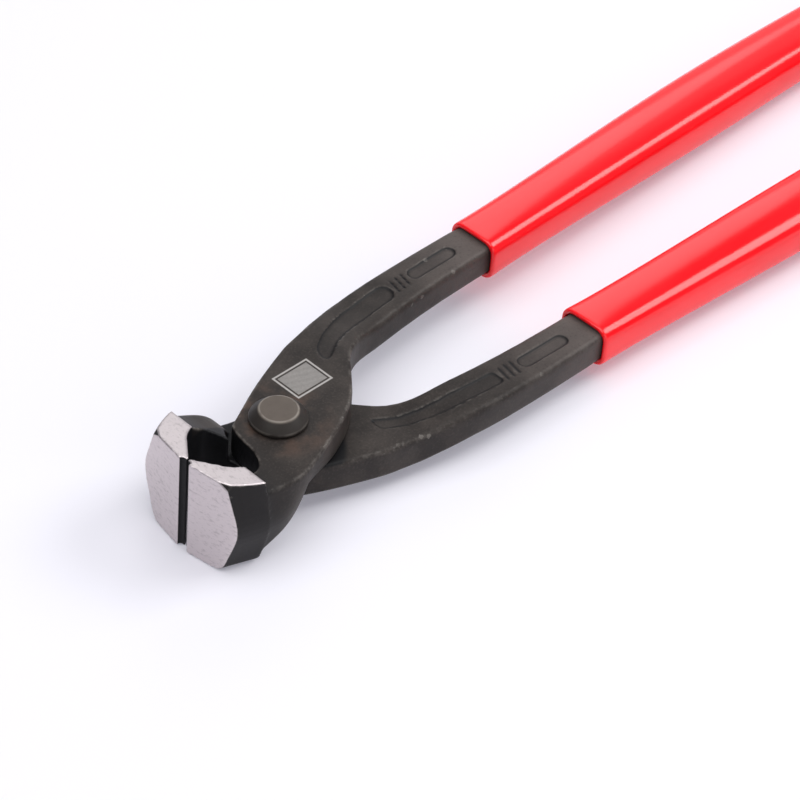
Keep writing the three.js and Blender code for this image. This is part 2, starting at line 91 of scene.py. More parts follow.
class Wire:
    """A shader socket that takes part in Python arithmetic."""

    def __init__(self, board: "Board", socket: bpy.types.NodeSocket) -> None:
        """Holds one output socket of a board.

        Args:
            board: The board that new nodes are added to.
            socket: The output socket.
        """
        self.board = board
        self.socket = socket

    def other(self, output: str) -> "Wire":
        """Another output of the same node, by name."""
        return Wire(self.board, self.socket.node.outputs[output])

    def _math(self, operation: str, first: Feed, second: Feed = 0.0) -> "Wire":
        """Adds a Math node and returns its result."""
        return self.board.node("ShaderNodeMath", {"operation": operation}, {0: first, 1: second})

    def __add__(self, other: Feed) -> "Wire":
        """Sum."""
        return self._math("ADD", self, other)

    def __radd__(self, other: Feed) -> "Wire":
        """Sum with a number on the left."""
        return self._math("ADD", other, self)

    def __sub__(self, other: Feed) -> "Wire":
        """Difference."""
        return self._math("SUBTRACT", self, other)

    def __rsub__(self, other: Feed) -> "Wire":
        """Difference with a number on the left."""
        return self._math("SUBTRACT", other, self)

    def __mul__(self, other: Feed) -> "Wire":
        """Product."""
        return self._math("MULTIPLY", self, other)

    def __rmul__(self, other: Feed) -> "Wire":
        """Product with a number on the left."""
        return self._math("MULTIPLY", other, self)

    def __abs__(self) -> "Wire":
        """Size without sign."""
        return self._math("ABSOLUTE", self)

    def __pow__(self, power: Feed) -> "Wire":
        """Power."""
        return self._math("POWER", self, power)

    def most(self, other: Feed) -> "Wire":
        """The larger of two values."""
        return self._math("MAXIMUM", self, other)

    def fade(self, low: float, high: float) -> "Wire":
        """Rises smoothly from 0 at low to 1 at high.

        Args:
            low: Value below which the result is 0.
            high: Value above which the result is 1.

        Returns:
            The smooth step.
        """
        settings = {"interpolation_type": "SMOOTHSTEP"}
        return self.board.node("ShaderNodeMapRange", settings, {0: self, 1: low, 2: high})

    def within(self, half: float, soft: float) -> "Wire":
        """1 where the value lies within half of zero, with a soft border."""
        return 1.0 - abs(self).fade(half - soft, half + soft)


class Spot(NamedTuple):
    """Place on a piece in millimetres from the pivot, as one vector and as X, Y and Z."""

    where: Wire
    x: Wire
    y: Wire
    z: Wire


class Board:
    """A material's node tree, filled by calls that return wires."""

    def __init__(self, name: str) -> None:
        """Makes an empty node material.

        Args:
            name: Name of the material.
        """
        self.material = bpy.data.materials.new(name)
        self.material.use_nodes = True
        self.tree = self.material.node_tree
        self.tree.nodes.clear()

    def node(
        self, kind: str, settings: Dict[str, Any], feeds: Dict[Any, Feed], output: Union[int, str] = 0
    ) -> Wire:
        """Adds one node.

        Args:
            kind: The node's type name.
            settings: Properties, which are set before the sockets.
            feeds: Socket name or number to a wire, a number or a colour.
            output: The output that is returned.

        Returns:
            The chosen output as a wire.
        """
        made = self.tree.nodes.new(kind)
        for key, value in settings.items():
            setattr(made, key, value)
        for key, feed in feeds.items():
            self._plug(made.inputs[key], feed)
        return Wire(self, made.outputs[output]) if len(made.outputs) else Wire(self, None)

    def _plug(self, socket: bpy.types.NodeSocket, feed: Feed) -> None:
        """Links a wire to a socket, or sets the socket's own value."""
        if isinstance(feed, Wire):
            self.tree.links.new(feed.socket, socket)
        elif isinstance(feed, (int, float)):
            socket.default_value = feed
        else:
            wide = len(socket.default_value)
            socket.default_value = tuple(feed) if len(feed) == wide else (*feed, 1.0)

    def place(self) -> Spot:
        """Place on the piece, in millimetres from the pivot."""
        rest = self.node("ShaderNodeTexCoord", {}, {}, "Object")
        moved = self.node("ShaderNodeVectorMath", {"operation": "SUBTRACT"}, {0: rest, 1: tuple(PIVOT)})
        sized = self.node("ShaderNodeVectorMath", {"operation": "SCALE"}, {0: moved, "Scale": 1 / MM})
        x = self.node("ShaderNodeSeparateXYZ", {}, {0: sized})
        return Spot(sized, x, x.other("Y"), x.other("Z"))

    def noise(self, spot: Spot, size: float, detail: float = 2.0, stretch: Triple = (1.0, 1.0, 1.0)) -> Wire:
        """Cloudy noise from 0 to 1.

        Args:
            spot: The place on the piece.
            size: Size of a cloud in millimetres.
            detail: Number of finer layers.
            stretch: How much longer the clouds are along X, Y and Z.

        Returns:
            The noise value.
        """
        scale = tuple(1 / (size * longer) for longer in stretch)
        at = self.node("ShaderNodeVectorMath", {"operation": "MULTIPLY"}, {0: spot.where, 1: scale})
        return self.node("ShaderNodeTexNoise", {}, {"Vector": at, "Scale": 1.0, "Detail": detail})

    def mix(self, share: Feed, first: Feed, second: Feed) -> Wire:
        """Mixes two colours by a share from 0 to 1."""
        settings = {"data_type": "RGBA"}
        return self.node("ShaderNodeMix", settings, {0: share, 6: first, 7: second}, 2)

    def bump(self, height: Wire, depth: float, strength: float) -> Wire:
        """Normal of a surface raised by a height wire.

        Args:
            height: Height from 0 to 1.
            depth: Real height of 1, in millimetres.
            strength: Strength of the effect.

        Returns:
            The bumped normal.
        """
        feeds = {"Height": height, "Distance": depth * MM, "Strength": strength}
        return self.node("ShaderNodeBump", {}, feeds)

    def finish(self, feeds: Dict[str, Feed]) -> bpy.types.Material:
        """Adds the surface shader and the output.

        Args:
            feeds: Values and wires of the Principled shader's sockets.

        Returns:
            The finished material.
        """
        shader = self.node("ShaderNodeBsdfPrincipled", {}, feeds)
        self.node("ShaderNodeOutputMaterial", {}, {"Surface": shader})
        return self.material


# Finishes


@dataclass(frozen=True)
class JawGrinding:
    """Planes that the closed jaws are ground to, in millimetres from the pivot."""

    reach: float = 26.3
    land_width: float = 1.35
    front_tilt: float = math.radians(9.5)
    top: float = 12.1
    top_fall: float = math.radians(10.5)
    back: float = 16.8
    edge: float = 0.14

    def front_depth(self, side: Side, x: Any, y: Any) -> Any:
        """Depth behind a jaw's front face.

        Args:
            side: The lever.
            x: X in millimetres, as a number or a wire.
            y: Y in millimetres, as a number or a wire.

        Returns:
            Depth in millimetres, of the same kind as x and y.
        """
        ahead = (self.reach - x) * math.cos(self.front_tilt)
        return ahead + (self.land_width - y * side.value) * math.sin(self.front_tilt)

    def top_depth(self, x: Any, z: Any) -> Any:
        """Depth below a jaw's ground top face.

        Args:
            x: X in millimetres, as a number or a wire.
            z: Z in millimetres, as a number or a wire.

        Returns:
            Depth in millimetres, of the same kind as x and z.
        """
        below = (self.top - z) * math.cos(self.top_fall)
        return below + (x - self.reach) * math.sin(self.top_fall)

    def mask(self, side: Side, spot: Spot) -> Wire:
        """1 on a jaw's ground front and top faces, 0 elsewhere."""
        front = 1.0 - self.front_depth(side, spot.x, spot.y).fade(self.edge, 2 * self.edge)
        top = 1.0 - self.top_depth(spot.x, spot.z).fade(self.edge, 2 * self.edge)
        return front.most(top * spot.x.fade(self.back - self.edge, self.back))


@dataclass(frozen=True)
class BlackScale:
    """Where a forging keeps its black scale and where painted shade darkens the hollow, the slot beside the cutting
    edges and the lap faces between the levers, in millimetres from the pivot.
    """

    hollow_middle: float = 15.2
    hollow_half: Span = (8.4, 8.6)
    hollow_soft: Span = (0.8, 0.3)
    hollow_top: Span = (6.8, 7.4)
    jaw_back: Span = (16.6, 16.9)
    jaw_half: float = 8.4
    jaw_soft: float = 0.4
    lap_half: float = 0.7
    lap_soft: float = 0.3
    lap_squared_radius: Span = (190.0, 230.0)

    def mask(self, spot: Spot) -> Wire:
        """1 in the hollow, beside the cutting edges and on the lap faces, 0 elsewhere: real black scale together
        with painted shade in these hidden places.
        """
        _, x, y, z = spot
        hollow = (x - self.hollow_middle).within(self.hollow_half[0], self.hollow_soft[0])
        hollow = hollow * y.within(self.hollow_half[1], self.hollow_soft[1]) * (1.0 - z.fade(*self.hollow_top))
        jaw_side = x.fade(*self.jaw_back) * y.within(self.jaw_half, self.jaw_soft)
        lap = z.within(self.lap_half, self.lap_soft) * (1.0 - (x * x + y * y).fade(*self.lap_squared_radius))
        return hollow.most(jaw_side).most(lap)


@dataclass(frozen=True)
class EtchedPanel:
    """Hatched rectangle with a border, etched on the boss, in millimetres from the pivot."""

    centre: Span = (-12.6, -6.0)
    half: Span = (5.0, 4.1)
    level: Span = (7.2, 7.3)
    line: float = 0.22
    pitch: float = 0.55
    soft: float = 0.08
    field_share: float = 0.35
    stripe_share: float = 0.45
    colour: Colour = (0.44, 0.42, 0.40)

    def mask(self, spot: Spot) -> Wire:
        """Etched lines on top of the boss: a border and a slanted hatch, 0 elsewhere."""
        dx, dy = spot.x - self.centre[0], spot.y - self.centre[1]
        whole, inner, field = (self._rectangle(dx, dy, lines * self.line) for lines in (0, 2, 4))
        hatch = self.field_share + self.stripe_share * self._stripe((dx + dy) * (1 / self.pitch))
        return ((whole - inner) + field * hatch) * spot.z.fade(*self.level)

    def _rectangle(self, dx: Wire, dy: Wire, inset: float) -> Wire:
        """1 inside the panel's outline, drawn in by an inset."""
        return dx.within(self.half[0] - inset, self.soft) * dy.within(self.half[1] - inset, self.soft)

    @staticmethod
    def _stripe(turns: Wire) -> Wire:
        """Soft stripes from 0 to 1, one for each turn."""
        return turns.board.node("ShaderNodeMath", {"operation": "SINE"}, {0: turns * math.tau}) * 0.5 + 0.5


@dataclass(frozen=True)
class ForgedSteel:
    """Black oxide on a forging, worn along its edges and ground bright on the jaws, with painted shade in its
    creases, sunk marks, hollow, slot and lap faces, and painted light on the tops of its handled arms.

    Sizes and places are in millimetres from the pivot, and a pair is where a fade starts and ends.
    """

    deep: Colour = (0.0210, 0.0168, 0.0148)
    pale: Colour = (0.0420, 0.0340, 0.0295)
    handled: Colour = (0.1150, 0.0940, 0.0860)
    hardened: Colour = (0.0085, 0.0078, 0.0086)
    black: Colour = (0.006, 0.006, 0.007)
    worn: Colour = (0.22, 0.20, 0.18)
    speck: Colour = (0.55, 0.53, 0.50)
    rust: Colour = (0.098, 0.054, 0.036)
    ground: Colour = (0.61, 0.555, 0.56)
    pitted: Colour = (0.36, 0.325, 0.33)
    cloud_size: float = 7.0
    cloud_detail: float = 4.0
    detail: float = 3.0
    skin_size: float = 0.55
    wear_size: float = 2.2
    speck_size: float = 0.6
    mark_size: float = 0.8
    mark_stretch: Triple = (1.0, 2.0, 0.8)
    fleck_size: float = 0.45
    fleck_stretch: Triple = (1.0, 1.8, 0.8)
    convex: Span = (0.504, 0.54)
    concave: Span = (0.455, 0.497)
    handled_part: Span = (-78.0, -44.0)
    handled_level: Span = (0.6, 0.95)
    hardened_part: Span = (8.0, 19.0)
    rust_squared_radius: Span = (40.0, 170.0)
    grain_share: float = 0.14
    pore_share: float = 0.25
    sunk_share: float = 0.14
    outline_share: float = 0.9
    outline_power: float = 0.6
    rust_share: float = 0.7
    wear_share: float = 0.5
    speck_share: float = 0.26
    mark_share: float = 0.5
    fleck_share: float = 0.35
    specular: float = 0.21
    bump_depth: float = 0.06
    bump_strength: float = 0.45
    grinding: JawGrinding = JawGrinding()
    # Black scale with painted shade: the hollow, the slot and the lap faces between the levers.
    scale: BlackScale = BlackScale()
    panel: EtchedPanel = EtchedPanel()

    def material(self, side: Side) -> bpy.types.Material:
        """Material of one lever.

        Args:
            side: The lever, which says where its ground faces are.

        Returns:
            The material.
        """
        board = Board(f"{side.body}_forged_steel")
        spot = board.place()
        cloud = board.noise(spot, self.cloud_size, self.cloud_detail)
        skin = board.noise(spot, self.skin_size, self.detail)
        marks = board.noise(spot, self.mark_size, self.detail, self.mark_stretch)
        edge = board.node("ShaderNodeNewGeometry", {}, {}, "Pointiness")
        convex = edge.fade(*self.convex)
        wear = convex * board.noise(spot, self.wear_size, self.detail).fade(0.38, 0.66)
        specks = convex * board.noise(spot, self.speck_size).fade(0.60, 0.72) * cloud.fade(0.40, 0.62)
        oxide = self._oxide(board, spot, cloud, skin)
        # Painted shade: concave creases and the corners of recesses are darkened toward black, standing in for the
        # shade that falls in them.
        oxide = board.mix(1.0 - edge.fade(*self.concave), oxide, self.black)
        oxide = board.mix(wear * self.wear_share, oxide, self.worn)
        oxide = board.mix(specks * self.speck_share, oxide, self.speck)
        if side is Side.UPPER:
            oxide = board.mix(self.panel.mask(spot) * (0.7 + 0.3 * skin), oxide, self.panel.colour)
        # Real black scale, with painted shade: the hollow, the slot beside the cutting edges and the lap faces
        # between the levers are painted black.
        oxide = board.mix(self.scale.mask(spot), oxide, self.black)
        bright = self.grinding.mask(side, spot)
        rough = 0.50 - 0.12 * wear + 0.10 * (skin - 0.5)
        ground_rough = 0.34 + 0.16 * marks
        height = skin * (1.0 - 0.7 * bright) + 0.55 * marks * bright
        return board.finish({
            "Base Color": board.mix(bright, oxide, self._steel(board, spot, marks)),
            "Roughness": rough + (ground_rough - rough) * bright,
            "Metallic": bright,
            "Specular IOR Level": self.specular,
            "Normal": board.bump(height, self.bump_depth, self.bump_strength),
        })

    def _oxide(self, board: Board, spot: Spot, cloud: Wire, skin: Wire) -> Wire:
        """Colour of the oxide before wear.

        Args:
            board: The lever's board.
            spot: The place on the lever.
            cloud: Broad noise.
            skin: Fine noise.

        Returns:
            The colour, with rubbed handles that are lighter on their tops as painted light, grain, hardened jaws,
            sunk marks darkened and lined as painted shade, and rust round the rivet.
        """
        _, x, y, _ = spot
        sunk = board.node("ShaderNodeAttribute", {"attribute_name": SUNK}, {}, "Fac")
        # Painted light: the rubbed colour is stronger on faces that point up than on the sides, standing in for
        # light from above; the rubbing itself is wear of the handled arm.
        facing = board.node("ShaderNodeTexCoord", {}, {}, "Normal")
        level = abs(board.node("ShaderNodeSeparateXYZ", {}, {0: facing}, "Z")).fade(*self.handled_level)
        rubbed = (1.0 - x.fade(*self.handled_part)) * (0.45 + 0.6 * cloud) * (0.45 + 0.55 * level)
        # Painted shade: the walls of each sunk mark are lined with black, standing in for the shade inside the
        # recess.
        outline = (4.0 * sunk * (1.0 - sunk)) ** self.outline_power
        near_rivet = 1.0 - (x * x + y * y).fade(*self.rust_squared_radius)
        oxide = board.mix(cloud.fade(0.30, 0.72), self.deep, self.pale)
        for share, colour in (
            (rubbed, self.handled),
            (skin.fade(0.50, 0.70) * self.grain_share, self.handled),
            ((1.0 - skin.fade(0.28, 0.46)) * self.pore_share, self.black),
            (x.fade(*self.hardened_part) * (0.75 + 0.25 * cloud), self.hardened),
            # Painted shade: the floors of the sunk marks are darkened, and their walls lined with black.
            (sunk * self.sunk_share, self.hardened),
            (outline * self.outline_share, self.black),
            (near_rivet * cloud.fade(0.42, 0.72) * self.rust_share, self.rust),
        ):
            oxide = board.mix(share, oxide, colour)
        return oxide

    def _steel(self, board: Board, spot: Spot, marks: Wire) -> Wire:
        """Colour of the ground faces, with the marks of the wheel and small pits."""
        flecks = board.noise(spot, self.fleck_size, self.detail, self.fleck_stretch)
        steel = board.mix(marks.fade(0.54, 0.74) * self.mark_share, self.ground, self.pitted)
        return board.mix(flecks.fade(0.55, 0.70) * self.fleck_share, steel, self.pitted)


@dataclass(frozen=True)
class RivetSteel:
    """Black oxide on the turned rivet, rubbed brown, with lighter rings at its edges that are wear together with a
    painted highlight. Sizes in millimetres.
    """

    deep: Colour = (0.0190, 0.0158, 0.0138)
    pale: Colour = (0.1150, 0.0940, 0.0780)
    worn: Colour = (0.30, 0.27, 0.235)
    cloud_size: float = 3.5
    cloud_detail: float = 4.0
    skin_size: float = 0.4
    crown_level: Span = (9.0, 10.0)
    flat_level: Span = (10.2, 10.6)
    band_level: float = 8.6
    band_share: float = 0.25
    wear_share: float = 0.6
    specular: float = 0.23
    bump_depth: float = 0.04
    bump_strength: float = 0.35

    def material(self, crown_radius: float, head_radius: float) -> bpy.types.Material:
        """Material of the rivet.

        Args:
            crown_radius: Radius of the crown's edge.
            head_radius: Radius of the head's edge.

        Returns:
            The material.
        """
        board = Board("rivet_steel")
        spot = board.place()
        _, x, y, z = spot
        cloud = board.noise(spot, self.cloud_size, self.cloud_detail)
        skin = board.noise(spot, self.skin_size)
        out = (x * x + y * y) ** 0.5
        # Edge wear together with a painted highlight: a lighter ring round the crown's edge and a fainter one round
        # the head's edge.
        crown = (out - crown_radius).within(0.18, 0.14) * z.fade(*self.crown_level)
        band = (out - head_radius).within(0.22, 0.12) * (z - self.band_level).within(0.25, 0.15)
        wear = (crown + self.band_share * band) * cloud.fade(0.34, 0.58)
        flat = z.fade(*self.flat_level)
        oxide = board.mix((0.6 + 0.5 * cloud) * (0.08 + 0.92 * flat), self.deep, self.pale)
        return board.finish({
            "Base Color": board.mix(wear * self.wear_share, oxide, self.worn),
            "Roughness": 0.46 + 0.10 * (skin - 0.5),
            "Specular IOR Level": self.specular,
            "Normal": board.bump(skin, self.bump_depth, self.bump_strength),
        })


@dataclass(frozen=True)
class DippedVinyl:
    """Glossy red vinyl, dipped on, with faint runs along the handle. Sizes in millimetres."""

    red: Colour = (0.96, 0.008, 0.014)
    deep: Colour = (0.88, 0.003, 0.008)
    run_size: float = 6.0
    run_stretch: Triple = (5.0, 1.0, 1.0)
    dust_size: float = 0.35
    index: float = 1.5
    bump_depth: float = 0.12
    bump_strength: float = 0.25

    def material(self) -> bpy.types.Material:
        """Material of both grips."""
        board = Board("grip_vinyl")
        spot = board.place()
        runs = board.noise(spot, self.run_size, stretch=self.run_stretch)
        dust = board.noise(spot, self.dust_size)
        return board.finish({
            "Base Color": board.mix(runs.fade(0.35, 0.75), self.red, self.deep),
            "Roughness": 0.12 + 0.05 * runs + 0.03 * dust,
            "IOR": self.index,
            "Normal": board.bump(runs, self.bump_depth, self.bump_strength),
        })


# Modelling helpers


def only(piece: bpy.types.Object) -> bpy.types.Object:
    """Leaves one object selected and active."""
    bpy.ops.object.select_all(action="DESELECT")
    piece.select_set(True)
    bpy.context.view_layer.objects.active = piece
    return piece


def apply_modifier(piece: bpy.types.Object, kind: str, **settings: Any) -> None:
    """Adds a modifier and applies it.

    Args:
        piece: The object.
        kind: The modifier's type.
        **settings: The modifier's properties.
    """
    only(piece)
    modifier = piece.modifiers.new(kind.lower(), kind)
    for key, value in settings.items():
        setattr(modifier, key, value)
    bpy.ops.object.modifier_apply(modifier=modifier.name)


def weigh(piece: bpy.types.Object, name: str, weights: Sequence[float]) -> str:
    """Writes a vertex group.

    Args:
        piece: The object.
        name: Name of the group.
        weights: One weight for each vertex.

    Returns:
        The group's name.
    """
    group = piece.vertex_groups.new(name=name)
    for index, weight in enumerate(weights):
        group.add([index], weight, "REPLACE")
    return name


def from_pivot(point: Vector) -> Vector:
    """A point in millimetres from the pivot."""
    return (point - PIVOT) / MM


def ramp(value: float, low: float, high: float) -> float:
    """Rises smoothly from 0 at low to 1 at high."""
    share = min(max((value - low) / (high - low), 0.0), 1.0)
    return share * share * (3 - 2 * share)


@dataclass
class Section:
    """Box around a cross-section: its middle and its sizes along Y and Z, in metres."""

    x: float
    y: float
    z: float
    width: float
    height: float

    @classmethod
    def of_node(cls, node: str, x: float, grow: float = 0.0) -> "Section":
        """Measures a CAD node where it crosses a plane of constant X.

        Args:
            node: The CAD node.
            x: Place of the plane, in metres.
            grow: Margin added all round, in metres.

        Returns:
            The section's box.
        """
        mesh = frame["nodes"][node].data
        cut: List[Vector] = []
        for edge in mesh.edges:
            a, b = (mesh.vertices[i].co for i in edge.vertices)
            if (a.x - x) * (b.x - x) <= 0 and abs(a.x - b.x) > TINY:
                cut.append(a.lerp(b, (x - a.x) / (b.x - a.x)))
        ys = [point.y for point in cut]
        zs = [point.z for point in cut]
        width, height = max(ys) - min(ys) + 2 * grow, max(zs) - min(zs) + 2 * grow
        return cls(x, (max(ys) + min(ys)) / 2, (max(zs) + min(zs)) / 2, width, height)

    def shrunk(self, x: float, inset: float) -> "Section":
        """The same box at another X, smaller by an inset all round."""
        return Section(x, self.y, self.z, self.width - 2 * inset, self.height - 2 * inset)


class FaceDrawer:
    """Draws a closed body out of one flat face, ring by ring, in edit mode."""

    def __init__(self, name: str) -> None:
        """Takes the active primitive, in object mode, as the start.

        Args:
            name: Name of the piece.
        """
        self.piece = bpy.context.object
        self.piece.name = name
        bpy.ops.object.transform_apply(location=True, rotation=True, scale=True)
        bpy.ops.object.mode_set(mode="EDIT")
        bpy.ops.mesh.select_all(action="SELECT")

    def _chosen(self) -> List[Vector]:
        """Places of the selected vertices."""
        data = bmesh.from_edit_mesh(self.piece.data)
        return [vertex.co.copy() for vertex in data.verts if vertex.select]

    def box(self) -> Tuple[Vector, Vector]:
        """Middle and size of the selected ring's box."""
        points = self._chosen()
        low = Vector([min(point[i] for point in points) for i in range(3)])
        high = Vector([max(point[i] for point in points) for i in range(3)])
        return (low + high) / 2, high - low

    def fit(self, section: Section, roundness: float = 0.0) -> None:
        """Gives the selected ring a section's place and size.

        Args:
            section: The box to fill.
            roundness: How far the ring is first drawn towards a circle.
        """
        if roundness:
            bpy.ops.transform.tosphere(value=roundness, center_override=self.box()[0])
        middle, size = self.box()
        target = Vector((section.x, section.y, section.z))
        bpy.ops.transform.translate(value=target - middle)
        scale = (1.0, section.width / size.y, section.height / size.z)
        bpy.ops.transform.resize(value=scale, center_override=target)

    def draw(self, section: Section, roundness: float = 0.0) -> None:
        """Extrudes the selected face into a new ring.

        Args:
            section: The box of the new ring.
            roundness: How far the ring is drawn towards a circle.
        """
        bpy.ops.mesh.extrude_region_move(TRANSFORM_OT_translate={"value": (0.0, 0.0, 0.0)})
        self.fit(section, roundness)

    def close(self) -> bpy.types.Object:
        """Ends the drawing with its faces pointing out, and returns the piece."""
        bpy.ops.mesh.select_all(action="SELECT")
        bpy.ops.mesh.normals_make_consistent(inside=False)
        bpy.ops.object.mode_set(mode="OBJECT")
        return self.piece


# Pieces


@dataclass(frozen=True)
class Easing:
    """Small move of a stretch of an arm's outer side, in millimetres.

    Attributes:
        stretch: Where it starts and ends along X, from the pivot.
        outside: Distance from the middle plane beyond which the outer side lies.
        inward: Move toward the middle plane.
        reach: How far round about the surface follows.
    """

    stretch: Span
    outside: float
    inward: float
    reach: float


@dataclass
class Lever:
    """One forged lever, refined from its CAD solid: softened forging, crisp ground faces. Sizes in millimetres."""

    side: Side
    merge: float = 0.001
    voxel: float = 0.30
    smoothing: float = 0.5
    edge_passes: int = 2
    forging_passes: int = 5
    crisp_depth: float = 0.35
    soft_depth: float = 1.1
    tang_start: float = -82.0
    arm_start: float = -75.0
    arm_end: float = -19.0
    arm_edge: Span = (1.8, 2.3)
    mark_depth: Span = (0.1, 0.42)
    side_depth: Span = (0.8, 1.1)
    elbow: Easing = Easing((-27.5, -24.5), 17.3, 0.75, 9.0)
    forearm: Easing = Easing((-72.0, -42.0), 20.3, -0.35, 9.0)
    strip: float = 0.5
    kept_share: float = 0.62
    grinding: JawGrinding = JawGrinding()

    def build(self) -> bpy.types.Object:
        """Copies the CAD node and refines the copy.

        Returns:
            The lever's piece.
        """
        node = frame["nodes"][self.side.lever_node]
        piece = bpy.data.objects.new(f"{self.side.body}_forging", node.data.copy())
        bpy.context.scene.collection.objects.link(piece)
        piece.data.materials.clear()
        only(piece)
        bpy.ops.object.mode_set(mode="EDIT")
        bpy.ops.mesh.select_all(action="SELECT")
        bpy.ops.mesh.remove_doubles(threshold=self.merge * MM)
        bpy.ops.object.mode_set(mode="OBJECT")
        apply_modifier(piece, "REMESH", mode="VOXEL", voxel_size=self.voxel * MM)
        places = [from_pivot(vertex.co) for vertex in piece.data.vertices]
        forged = weigh(piece, "forged", [self._softness(place) for place in places])
        apply_modifier(piece, "SMOOTH", factor=self.smoothing, iterations=self.edge_passes)
        apply_modifier(
            piece, "SMOOTH", factor=self.smoothing, iterations=self.forging_passes, vertex_group=forged
        )
        tang = weigh(piece, "tang", [float(place.x < self.tang_start) for place in places])
        apply_modifier(piece, "DECIMATE", ratio=self.kept_share, vertex_group=tang)
        piece.vertex_groups.clear()
        for easing in (self.elbow, self.forearm):
            self._ease(piece, easing)
        self._mark_sunk(piece)
        only(piece)
        bpy.ops.object.shade_smooth()
        return piece

    def _ease(self, piece: bpy.types.Object, easing: Easing) -> None:
        """Moves a stretch of the arm's outer side across, with its surroundings following smoothly.

        Args:
            piece: The lever's visible piece.
            easing: The stretch and its move.
        """
        start, end = easing.stretch
        only(piece)
        bpy.ops.object.mode_set(mode="EDIT")
        bpy.ops.mesh.select_mode(type="VERT")
        bpy.ops.mesh.select_all(action="DESELECT")
        bpy.ops.object.mode_set(mode="OBJECT")
        for vertex in piece.data.vertices:
            place = from_pivot(vertex.co)
            vertex.select = start < place.x < end and -self.side.value * place.y > easing.outside
        bpy.ops.object.mode_set(mode="EDIT")
        bpy.ops.transform.translate(
            value=(0.0, self.side.value * easing.inward * MM, 0.0),
            use_proportional_edit=True,
            proportional_edit_falloff="SMOOTH",
            proportional_size=easing.reach * MM,
        )
        bpy.ops.object.mode_set(mode="OBJECT")

    def _mark_sunk(self, piece: bpy.types.Object) -> None:
        """Stores how far each point of the arm's two faces is sunk into a mark, from 0 to 1, for the painted shade
        in the marks.
        """
        mesh = piece.data
        places = [from_pivot(vertex.co) for vertex in mesh.vertices]
        strips: Dict[int, List[Vector]] = {}
        for place in places:
            strips.setdefault(round(place.x / self.strip), []).append(place)
        boxes = {
            key: [(min(values), max(values)) for values in zip(*((place.y, place.z) for place in strip))]
            for key, strip in strips.items()
        }
        depths = [0.0] * len(places)
        for i, place in enumerate(places):
            if not self.arm_start < place.x < self.arm_end:
                continue
            (left, right), (sole, top) = boxes[round(place.x / self.strip)]
            inside = ramp(min(place.y - left, right - place.y), *self.arm_edge)
            depth = min(top - place.z, place.z - sole)
            depths[i] = inside * ramp(depth, *self.mark_depth) * (1 - ramp(depth, *self.side_depth))
        mesh.attributes.new(SUNK, "FLOAT", "POINT").data.foreach_set("value", depths)

    def _softness(self, place: Vector) -> float:
        """How far a point of the forging may be smoothed: 0 beside the ground faces, 1 away from them."""
        front = self.grinding.front_depth(self.side, place.x, place.y)
        behind = max(self.grinding.back - place.x, 0.0)
        top = max(self.grinding.top_depth(place.x, place.z), behind)
        return ramp(min(front, top), self.crisp_depth, self.soft_depth)

    def dress(self, piece: bpy.types.Object, finish: ForgedSteel) -> None:
        """Gives the lever its finish and its body."""
        piece.data.materials.append(finish.material(self.side))
        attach(piece, self.side.body)
        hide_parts(self.side.lever_node)


@dataclass
class Rivet:
    """The pivot, drawn up ring by ring from its peened tail to its conical head. Sizes in millimetres."""

    sides: int = 96
    edge_radius: float = 0.22
    edge_segments: int = 3
    edge_angle: float = math.radians(20)
    crease_angle: float = math.radians(30)
    seat: float = 7.9
    shank_radius: float = 4.6
    head_radius: float = 6.25
    head_band: float = 0.7
    crown_radius: float = 4.1
    crown_ring: float = 0.8
    head_height: float = 2.8
    tail_radius: float = 6.0
    tail_band: float = 0.5
    tail_crown_radius: float = 3.3
    tail_height: float = 1.6

    def profile(self) -> List[Tuple[float, float]]:
        """Radius and height of each ring, from the tail's face to the crown."""
        return [
            (self.tail_crown_radius, -self.seat - self.tail_height),
            (self.tail_radius, -self.seat - self.tail_band),
            (self.tail_radius, -self.seat),
            (self.shank_radius, -self.seat),
            (self.shank_radius, self.seat),
            (self.head_radius, self.seat),
            (self.head_radius, self.seat + self.head_band),
            ((self.head_radius + self.crown_radius) / 2, self.seat + (self.head_band + self.head_height) / 2),
            (self.crown_radius, self.seat + self.head_height),
            (self.crown_radius * self.crown_ring, self.seat + self.head_height),
        ]

    def build(self) -> bpy.types.Object:
        """Draws the rivet upward from the face of its tail.

        Returns:
            The rivet's piece.
        """
        rings = self.profile()
        radius, height = rings[0]
        start = PIVOT + Vector((0, 0, height * MM))
        bpy.ops.object.select_all(action="DESELECT")
        bpy.ops.mesh.primitive_circle_add(
            vertices=self.sides, radius=radius * MM, fill_type="TRIFAN", location=start
        )
        drawer = FaceDrawer("rivet")
        for (last_radius, last_height), (radius, height) in zip(rings, rings[1:]):
            rise = (0.0, 0.0, (height - last_height) * MM)
            bpy.ops.mesh.extrude_region_move(TRANSFORM_OT_translate={"value": rise})
            wider = radius / last_radius
            middle = PIVOT + Vector((0, 0, height * MM))
            bpy.ops.transform.resize(value=(wider, wider, 1.0), center_override=middle)
        piece = drawer.close()
        apply_modifier(
            piece,
            "BEVEL",
            width=self.edge_radius * MM,
            segments=self.edge_segments,
            limit_method="ANGLE",
            angle_limit=self.edge_angle,
        )
        only(piece)
        bpy.ops.object.shade_smooth_by_angle(angle=self.crease_angle)
        return piece

    def dress(self, piece: bpy.types.Object, finish: RivetSteel) -> None:
        """Gives the rivet its finish and its body."""
        piece.data.materials.append(finish.material(self.crown_radius, self.head_radius))
        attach(piece, "upper")
        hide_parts("pivot_rivet")


